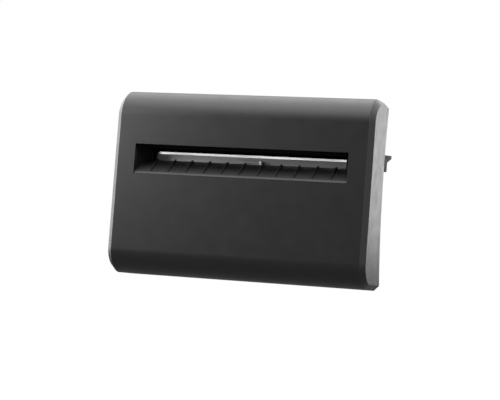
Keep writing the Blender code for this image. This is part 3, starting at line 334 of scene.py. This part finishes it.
cover_black = moulded_plastic("cover_black", (0.0056, 0.0056, 0.0058), 0.42, spread=0.03)
inner_black = moulded_plastic("inner_black", (0.007, 0.007, 0.0075), 0.55, 3200.0, shine=0.25)
# The chute floor carries painted light: a pale painted highlight at the lip, then painted shade darkening
# further in.
ramp_black_painted_light = chute_plastic_painted_light("ramp_black_painted_light", (0.048, 0.048, 0.049), (0.021, 0.021, 0.0215), (0.004, 0.004, 0.004),
                           0.5)
throat_black = moulded_plastic("throat_black", (0.012, 0.012, 0.012), 0.75, 3200.0, shine=0.0)
# Painted shade: a darker black with no shine for the entry guide, deep in the slot's shadow.
painted_shade_black = moulded_plastic("painted_shade_black", (0.004, 0.004, 0.004), 0.75, 3200.0, shine=0.0)
rib_black = moulded_plastic("rib_black", (0.011, 0.011, 0.011), 0.7, 3200.0, shine=0.18)
hook_black = moulded_plastic("hook_black", (0.008, 0.008, 0.0085), 0.7, 2400.0, shine=0.15)
nylon = moulded_plastic("natural_nylon", (0.76, 0.74, 0.68), 0.45, 1800.0)
acetal = moulded_plastic("natural_acetal", (0.74, 0.72, 0.65), 0.36, 1500.0, 0.00002)
red_sleeve = moulded_plastic("red_sleeve", (0.45, 0.02, 0.02), 0.5, 4000.0)
black_sleeve = moulded_plastic("black_sleeve", (0.02, 0.02, 0.02), 0.5, 4000.0)
blade_steel = ground_steel("blade_steel", (0.87, 0.87, 0.88), 0.16, depth=0.000004)
blade_oxide = ground_steel("blade_oxide", (0.32, 0.32, 0.325), 0.44)
# Painted shade: a near-black copy of the plated sheet for the blade carrier and the moving blade, which sit
# in shadow inside the slot.
carrier_painted_shade = plated_sheet("carrier_painted_shade", (0.014, 0.014, 0.014), 0.6)
clamp_nickel = ground_steel("clamp_nickel", (0.3, 0.3, 0.3), 0.3, (800.0, 800.0, 800.0))
# The tab is a brighter copy of the clamp's nickel: a painted highlight.
tab_nickel_painted_highlight = ground_steel("tab_nickel_painted_highlight", (0.7, 0.7, 0.7), 0.3, (800.0, 800.0, 800.0))
zinc_sheet = plated_sheet("zinc_sheet", (0.56, 0.58, 0.59), 0.38)
zinc_screw = turned_metal("zinc_screw", (0.52, 0.52, 0.54), 0.3)
bright_steel = turned_metal("bright_steel", (0.66, 0.66, 0.67), 0.22)
brass = turned_metal("turned_brass", (0.72, 0.54, 0.26), 0.28)
solder_mask = board_material()

FINISH = {
    "cover_plastic": cover_black,
    "inner_plastic": inner_black,
    "hook_black": hook_black,
    "connector_plastic": nylon,
    "gear_plastic": acetal,
    "blade_steel": blade_steel,
    "zinc_sheet": zinc_sheet,
    "zinc_screw": zinc_screw,
    "polished_steel": bright_steel,
    "brass": brass,
    "board_green": solder_mask,
    "red_sleeve": red_sleeve,
    "black_sleeve": black_sleeve,
}
# Painted shade: the blade carrier and the moving blade get a near-black sheet, and the entry guide an
# extra-dark black, for the shadow they sit in.
NODE_FINISH = {"blade_carrier": carrier_painted_shade, "moving_blade": carrier_painted_shade, "entry_guide": painted_shade_black}


# ---- mesh helpers --------------------------------------------------------------------------
def mesh_of(bm, name="mesh"):
    mesh = bpy.data.meshes.new(name)
    bmesh.ops.recalc_face_normals(bm, faces=bm.faces)
    bm.to_mesh(mesh)
    bm.free()
    return mesh


def extruded(name, axis, start, end, outline):
    """A flat outline in the other two axes, in X, Y, Z order, extruded along an axis."""
    bm = bmesh.new()
    place = {"X": lambda u, v, t: row(t, u, v), "Y": lambda u, v, t: row(u, t, v),
             "Z": lambda u, v, t: row(u, v, t)}[axis]
    near = [bm.verts.new(place(u, v, start)) for u, v in outline]
    far = [bm.verts.new(place(u, v, end)) for u, v in outline]
    bm.faces.new(near)
    bm.faces.new(far)
    count = len(outline)
    for i in range(count):
        bm.faces.new((near[i], near[(i + 1) % count], far[(i + 1) % count], far[i]))
    return mesh_of(bm, name)


def box(name, x, y, z):
    return extruded(name, "Z", z[0], z[1], [(x[0], y[0]), (x[1], y[0]), (x[1], y[1]), (x[0], y[1])])


def rod(name, radius, start, end, centre, sides=32):
    """A cylinder along Y."""
    turn = [math.tau * i / sides for i in range(sides)]
    outline = [(centre[0] + radius * math.cos(a), centre[1] + radius * math.sin(a)) for a in turn]
    return extruded(name, "Y", start, end, outline)


def merged(name, *meshes):
    bm = bmesh.new()
    for mesh in meshes:
        bm.from_mesh(mesh)
    made = bpy.data.meshes.new(name)
    bm.to_mesh(made)
    bm.free()
    return made


def new_object(name, mesh, material):
    made = bpy.data.objects.new(name, mesh)
    bpy.context.scene.collection.objects.link(made)
    mesh.materials.append(material)
    return made


def boolean(target, mesh, operation, within=None):
    """Applies a Boolean at once, so that no helper is left in the scene. within trims the helper first."""
    helper = bpy.data.objects.new("helper", mesh)
    bpy.context.scene.collection.objects.link(helper)
    if within is not None:
        boolean(helper, within, "INTERSECT")
    modifier = target.modifiers.new("boolean", "BOOLEAN")
    modifier.operation = operation
    modifier.solver = "EXACT"
    modifier.object = helper
    bake(target)
    bpy.data.objects.remove(helper)


def bake(target):
    """Applies every modifier to the mesh."""
    bpy.context.view_layer.update()
    graph = bpy.context.evaluated_depsgraph_get()
    materials = list(target.data.materials)
    result = bpy.data.meshes.new_from_object(target.evaluated_get(graph))
    target.modifiers.clear()
    target.data = result
    if not result.materials:
        for material in materials:
            result.materials.append(material)


def soften(target, width, angle=30.0, segments=2, weld=False):
    """Small rounded edges with flat faces kept flat."""
    if weld:
        join = target.modifiers.new("weld", "WELD")
        join.merge_threshold = WELD_DISTANCE * MM
    edge = target.modifiers.new("edge_break", "BEVEL")
    edge.width = width * MM
    edge.segments = segments
    edge.limit_method = "ANGLE"
    edge.angle_limit = math.radians(angle)
    edge.use_clamp_overlap = True
    edge.harden_normals = True
    target.data.shade_smooth()


# ---- cover ---------------------------------------------------------------------------------
def cover_profile(inset=0.0):
    """The section in Y, Z: a flat front between two flattened oval corners, open to the rear."""
    bottom = corner_curve(BOTTOM_ROUND_DEPTH - inset, BOTTOM_ROUND_HEIGHT - inset)
    top = corner_curve(TOP_ROUND_DEPTH - inset, TOP_ROUND_HEIGHT - inset)
    points = [(BLANK_DEPTH, inset)]
    points += [(inset + back, inset + rise) for back, rise in reversed(bottom)]
    points += [(inset + back, COVER_HEIGHT - inset - rise) for back, rise in top]
    return points + [(BLANK_DEPTH, COVER_HEIGHT - inset)]


def corner_curve(depth, height):
    """A corner from the flat front to the flat top, as distances behind the front and below the top."""
    points = []
    for step in range(ROUND_STEPS + 1):
        turn = math.pi / 2 * step / ROUND_STEPS
        points.append((depth * (1 - max(0.0, math.cos(turn)) ** ROUND_POWER),
                       height * (1 - math.sin(turn) ** ROUND_POWER)))
    return points


def chamfered_skin():
    """The outer skin as an open surface, with its end edges chamfered."""
    half = COVER_WIDTH / 2
    bm = bmesh.new()
    bm.from_mesh(extruded("skin", "X", -half, half, cover_profile()))
    rear = row(0, BLANK_DEPTH, 0).y - TOLERANCE
    behind = [f for f in bm.faces if all(v.co.y > rear for v in f.verts)]
    bmesh.ops.delete(bm, geom=behind, context="FACES")
    end = half * MM - TOLERANCE
    rim = []
    for edge in bm.edges:
        a, b = edge.verts
        same_end = abs(a.co.x) > end and abs(b.co.x) > end and a.co.x * b.co.x > 0
        if same_end and not (a.co.y > rear and b.co.y > rear):
            rim.append(edge)
    bmesh.ops.bevel(bm, geom=rim, offset=END_CHAMFER * MM, offset_type="OFFSET", segments=1, profile=0.5,
                    affect="EDGES", clamp_overlap=False)
    return mesh_of(bm, "cover_shell")


def boss_places():
    """The X, Z centres of the four screw bosses."""
    x = COVER_WIDTH / 2 - BOSS_INSET_X
    return [(side * x, height) for height in (BOSS_LOW, COVER_HEIGHT - BOSS_DROP) for side in (-1, 1)]


def build_cover():
    """The moulded shell: one wall thick, with screw bosses inside, a bowed rear edge and the slot."""
    cover = new_object("cover_shell", chamfered_skin(), cover_black)
    shell = cover.modifiers.new("wall", "SOLIDIFY")
    shell.thickness = WALL * MM
    shell.offset = -1
    shell.use_even_offset = True
    bake(cover)
    inside = extruded("limit", "X", -COVER_WIDTH / 2 + WALL, COVER_WIDTH / 2 - WALL, cover_profile(WALL / 2))
    bosses = [rod("boss", BOSS_RADIUS, WALL / 2, BOSS_END, place) for place in boss_places()]
    boolean(cover, merged("bosses", *bosses), "UNION", within=inside)
    turn = [math.tau * i / REAR_EDGE_SIDES for i in range(REAR_EDGE_SIDES)]
    middle = REAR_EDGE + REAR_EDGE_RADIUS
    outline = [(middle + REAR_EDGE_RADIUS * math.cos(a), REAR_EDGE_HEIGHT + REAR_EDGE_RADIUS * math.sin(a))
               for a in turn]
    boolean(cover, extruded("rear_cut", "X", -COVER_WIDTH, COVER_WIDTH, outline), "DIFFERENCE")
    half = SLOT_WIDTH / 2
    slot = box("slot_cut", (-half, half), (-CUT_MARGIN, WALL + CUT_MARGIN), (SLOT_LOW, SLOT_HIGH))
    boolean(cover, slot, "DIFFERENCE")
    pilots = [rod("pilot", PILOT_RADIUS, BOSS_END - PILOT_DEPTH, BOSS_END + CUT_MARGIN, place, 20)
              for place in boss_places()]
    boolean(cover, merged("pilots", *pilots), "DIFFERENCE")
    soften(cover, EDGE_BREAK, angle=33.0, segments=3)
    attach(cover, "frame")
    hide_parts("front_cover")


# ---- exit chute ----------------------------------------------------------------------------
def ramp_curve(lift):
    """The top of the floor in Y, Z: steep behind the lip, flatter at its crest."""
    start = (GAP + LIP_RUN, SLOT_LOW + GAP + LIP_RISE + lift)
    points = []
    for step in range(RAMP_STEPS + 1):
        turn = math.pi / 2 * step / RAMP_STEPS
        share = RAMP_BEND * math.sin(turn) + (1 - RAMP_BEND) * step / RAMP_STEPS
        points.append((start[0] + (RAMP_DEPTH - LIP_RUN) * step / RAMP_STEPS,
                       start[1] + (RAMP_RISE - LIP_RISE + RAMP_CREST) * share))
    return points


def build_chute():
    """The label's way out: a rising floor, two side walls that close in, a short roof and thin ribs."""
    half = SLOT_WIDTH / 2 - FIT
    top = ramp_curve(0.0)
    under = [(y, z - CHUTE_SKIN) for y, z in reversed(top[UNDERSIDE_START:])]
    floor = extruded("floor", "X", -half, half, [(FIT, SLOT_LOW + FIT)] + top + under)
    low = SLOT_LOW - GAP
    high = SLOT_HIGH + CHUTE_SKIN
    mouth = SLOT_WIDTH / 2
    throat = mouth - CHUTE_MOUTH_INSET
    walls = []
    for side in (-1, 1):
        inner = [(side * mouth, WALL + FIT), (side * throat, CHUTE_DEPTH)]
        outer = [(x + side * CHUTE_SKIN, y) for x, y in reversed(inner)]
        walls.append(extruded("wall", "Z", low, high, inner + outer))
    roof_half = throat + ROOF_OVERLAP * CHUTE_SKIN
    roof_rear = CHUTE_DEPTH - ROOF_INSET
    roof = box("roof", (-roof_half, roof_half), (roof_rear - ROOF_DEPTH, roof_rear),
               (SLOT_HIGH - ROOF_DROP, high - GAP))
    chute = new_object("chute_floor", floor, ramp_black_painted_light)
    soften(chute, CHUTE_EDGE, angle=35.0, segments=2)
    throat_walls = new_object("chute_walls", merged("chute_walls", *walls, roof), throat_black)
    soften(throat_walls, CHUTE_EDGE, angle=35.0, segments=2)
    crest = ramp_curve(RIB_RISE)
    sunk = [(y, z - RIB_RISE - RIB_SINK) for y, z in reversed(crest)]
    ribs = [extruded("rib", "X", i * RIB_PITCH - RIB_WIDTH / 2, i * RIB_PITCH + RIB_WIDTH / 2,
                     crest[1:] + sunk[:-1]) for i in range(-RIBS_EACH_SIDE, RIBS_EACH_SIDE + 1)]
    rails = new_object("chute_ribs", merged("chute_ribs", *ribs), rib_black)
    soften(rails, RIB_EDGE, angle=50.0, segments=3)
    for piece in (chute, throat_walls, rails):
        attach(piece, "frame")
        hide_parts("exit_chute")


# ---- fixed blade ---------------------------------------------------------------------------
def build_fixed_blade():
    """The oxide-dark body and the ground land along its edge."""
    low, high = (corner / MM for corner in map(Vector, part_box("fixed_blade")))
    front = low.y - FRONT
    rear = high.y - FRONT
    bottom = low.z - BASE
    top = high.z - BASE
    half = high.x
    face = front + LAND_PROUD
    land = top - LAND_TALL
    body = extruded("body", "X", -half, half, [(face, bottom), (rear, bottom), (rear, land), (face, land)])
    blade = new_object("fixed_blade_body", body, blade_oxide)
    soften(blade, BODY_EDGE, angle=30.0, segments=2)
    seam = land + LAND_SEAM
    strip = extruded("strip", "X", -half, half, [(front, seam), (rear, seam), (rear, top), (front, top)])
    edge = new_object("fixed_blade_land", strip, blade_steel)
    soften(edge, LAND_EDGE, angle=30.0, segments=3)
    for piece in (blade, edge):
        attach(piece, "frame")
        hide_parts("fixed_blade")


def build_clamp():
    """The folded sheet that holds the fixed blade down, with its end tab turned forwards."""
    low, high = (corner / MM for corner in map(Vector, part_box("blade_clamp")))
    left, right = low.x, high.x
    front, rear = low.y - FRONT, high.y - FRONT
    bottom, top = low.z - BASE, high.z - BASE
    section = [(front, bottom), (rear, bottom), (rear, top), (rear - CLAMP_SKIN, top),
               (rear - CLAMP_SKIN, bottom + CLAMP_SKIN), (front, bottom + CLAMP_SKIN)]
    fold = right - CLAMP_TAB
    strip = extruded("clamp", "X", left, fold - CLAMP_FOLD_GAP, section)
    clamp = new_object("blade_clamp_detail", strip, clamp_nickel)
    # The tab takes the brighter copy of the clamp's nickel, a painted highlight.
    tab = new_object("blade_clamp_tab", box("tab", (fold, right), (front, rear), (bottom, top)), tab_nickel_painted_highlight)
    for piece in (clamp, tab):
        soften(piece, CLAMP_EDGE, angle=30.0, segments=3)
        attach(piece, "frame")
        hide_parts("blade_clamp")


# ---- CAD nodes that keep their own shape ---------------------------------------------------
def finish_nodes():
    """Gives each CAD node its material, and the ones in view slightly rounded edges."""
    slots = {entry["node"]: entry["material_slot"] for entry in frame["record"]["subparts"]}
    for name, node in nodes.items():
        node.data.materials.clear()
        node.data.materials.append(NODE_FINISH.get(name, FINISH[slots[name]]))
    soften(nodes["moving_blade"], MOVING_BLADE_EDGE, angle=25.0, segments=2, weld=True)
    for name in ("mounting_hook_left", "mounting_hook_right", "blade_beam", "entry_guide"):
        soften(nodes[name], MOULDING_EDGE, angle=30.0, segments=3, weld=True)
    for name in ("home_sensor", "interface_connector"):
        soften(nodes[name], FITTING_EDGE, angle=40.0, segments=2, weld=True)


# ---- studio --------------------------------------------------------------------------------
def build_camera():
    """An orbit round the target, a roll and a small turn of the aim, all set by the values above."""
    azimuth = math.radians(CAMERA_AZIMUTH)
    elevation = math.radians(CAMERA_ELEVATION)
    roll = math.radians(CAMERA_ROLL)
    back = Vector((math.sin(azimuth) * math.cos(elevation), -math.cos(azimuth) * math.cos(elevation),
                   math.sin(elevation)))
    right = Vector((math.cos(azimuth), math.sin(azimuth), 0.0))
    up = back.cross(right)
    rolled_right = right * math.cos(roll) + up * math.sin(roll)
    rolled_up = up * math.cos(roll) - right * math.sin(roll)
    target = row(*CAMERA_TARGET)
    place = target + back * CAMERA_DISTANCE * MM
    aim = target + (rolled_right * AIM_RIGHT - rolled_up * AIM_DOWN) * MM
    axis = (place - aim).normalized()
    side = rolled_up.cross(axis).normalized()
    over = axis.cross(side)
    turn = Matrix((side, over, axis)).transposed()
    data = bpy.data.cameras.new("camera")
    data.sensor_width = SENSOR_WIDTH
    data.lens = CAMERA_LENS
    data.clip_start = NEAREST_SEEN
    camera = bpy.data.objects.new("camera", data)
    bpy.context.scene.collection.objects.link(camera)
    camera.matrix_world = Matrix.Translation(place) @ turn.to_4x4()
    bpy.context.scene.camera = camera


def area_light(name, place, target, size, power):
    data = bpy.data.lights.new(name, "AREA")
    data.shape = "RECTANGLE"
    data.size, data.size_y = size
    data.energy = power
    made = bpy.data.objects.new(name, data)
    bpy.context.scene.collection.objects.link(made)
    made.location = place
    made.rotation_euler = (Vector(target) - Vector(place)).to_track_quat("-Z", "Y").to_euler()
    return made


def lobe(tree, direction, towards, start, end, strength, outside=0.0):
    """Soft light from around one direction of the sky."""
    dot = tree.nodes.new("ShaderNodeVectorMath")
    dot.operation = "DOT_PRODUCT"
    tree.links.new(direction, dot.inputs[0])
    dot.inputs[1].default_value = Vector(towards).normalized()
    made = tree.nodes.new("ShaderNodeMapRange")
    made.interpolation_type = "SMOOTHSTEP"
    made.inputs["From Min"].default_value = start
    made.inputs["From Max"].default_value = end
    made.inputs["To Min"].default_value = outside
    made.inputs["To Max"].default_value = strength
    tree.links.new(dot.outputs["Value"], made.inputs["Value"])
    return made.outputs["Result"]


def build_sky():
    """A white studio: soft light from above, behind and both sides, and a plain white surround."""
    world = bpy.data.worlds.new("studio")
    bpy.context.scene.world = world
    world.use_nodes = True
    tree = world.node_tree
    soft = tree.nodes["Background"]
    place = tree.nodes.new("ShaderNodeTexCoord").outputs["Generated"]
    total = None
    for towards, start, end, strength in SKY_LOBES:
        part = lobe(tree, place, towards, start, end, strength)
        total = part if total is None else combined(tree, "ADD", total, part)
    up = (0.0, 0.0, 1.0)
    lit = combined(tree, "MULTIPLY", total, lobe(tree, place, up, HORIZON_START, HORIZON_END, 1.0))
    base = lobe(tree, place, up, HORIZON_START, HORIZON_END, SKY_ABOVE, SKY_BELOW)
    tree.links.new(combined(tree, "ADD", lit, base), soft.inputs["Strength"])
    soft.inputs["Color"].default_value = (1.0, 1.0, 1.0, 1.0)
    surround = tree.nodes.new("ShaderNodeBackground")
    surround.inputs["Color"].default_value = (1.0, 1.0, 1.0, 1.0)
    seen = tree.nodes.new("ShaderNodeLightPath").outputs["Is Camera Ray"]
    pick = tree.nodes.new("ShaderNodeMixShader")
    tree.links.new(seen, pick.inputs["Fac"])
    tree.links.new(soft.outputs["Background"], pick.inputs[1])
    tree.links.new(surround.outputs["Background"], pick.inputs[2])
    tree.links.new(pick.outputs["Shader"], tree.nodes["World Output"].inputs["Surface"])


def build_studio():
    """The sky, the soft boxes and a pale floor that throws nothing back onto the object."""
    bpy.context.scene.view_settings.view_transform = "Standard"
    build_sky()
    for box_light in SOFT_BOXES:
        area_light(*box_light)
    floor, tree, shader, place = start_material("studio_floor", (0.86, 0.86, 0.86), 0.7)
    tree.links.new(ranged(tree, noise(tree, place, 3.0), 0.66, 0.74), shader.inputs["Roughness"])
    bm = bmesh.new()
    bmesh.ops.create_grid(bm, x_segments=1, y_segments=1, size=FLOOR_HALF)
    bmesh.ops.translate(bm, verts=bm.verts, vec=(0.0, 0.0, -FLOOR_DROP))
    ground = new_object("studio_ground", mesh_of(bm, "studio_ground"), floor)
    ground.visible_glossy = False
    ground.visible_diffuse = False


finish_nodes()
build_cover()
build_chute()
build_fixed_blade()
build_clamp()
build_camera()
build_studio()
